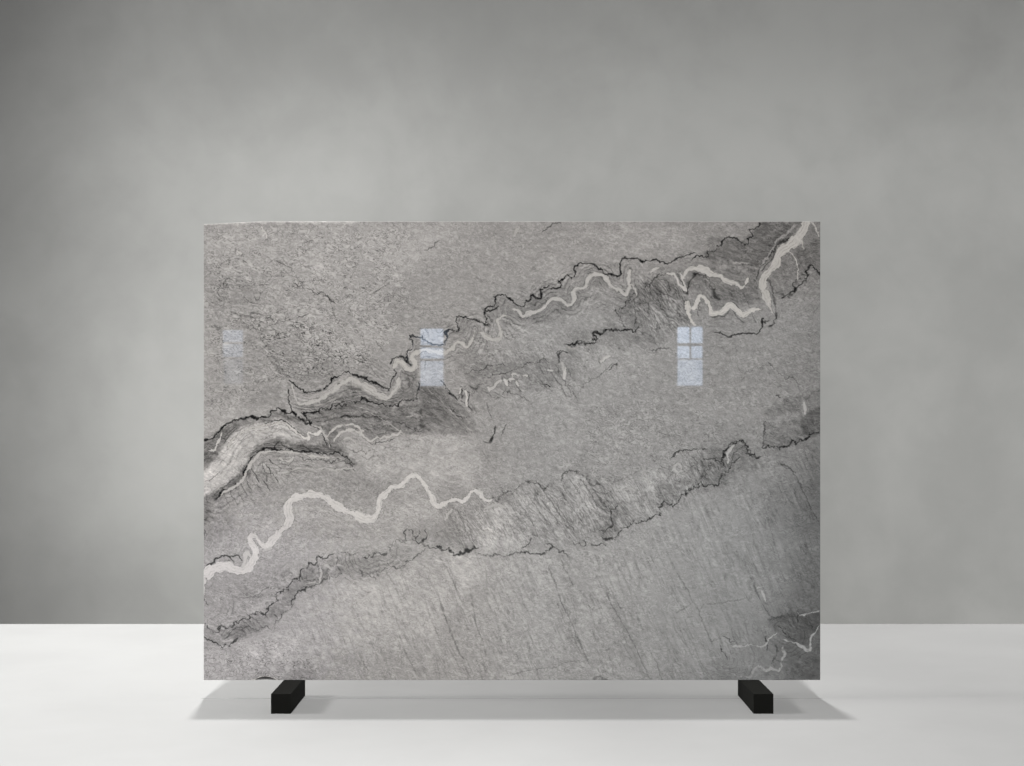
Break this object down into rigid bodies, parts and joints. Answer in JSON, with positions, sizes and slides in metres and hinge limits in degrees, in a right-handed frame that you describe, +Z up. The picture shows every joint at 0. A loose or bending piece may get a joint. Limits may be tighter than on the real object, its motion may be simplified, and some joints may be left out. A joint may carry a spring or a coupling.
{
  "type": "marble slab on support blocks",
  "caption": "Polished rectangular marble slab with folded pale veins, standing on edge across square black support blocks.",
  "frame": {"origin": "on the floor, at the centre of the footprint of the whole part", "axes": "+X along the slab's length, to the right as the polished face is seen; +Y away from the viewer, through the slab's thickness; +Z up. The polished face looks along -Y"},
  "size_m": [2.62, 0.4, 2.028],
  "materials": {
    "marble": "polished warm grey marble with pale folded veins and thin dark sutures; sawn edges",
    "black_paint": "matte black paint on square timber"
  },
  "bodies": {
    "root": {"slab": "marble", "left_block": "black_paint", "right_block": "black_paint"}
  },
  "joints": []
}
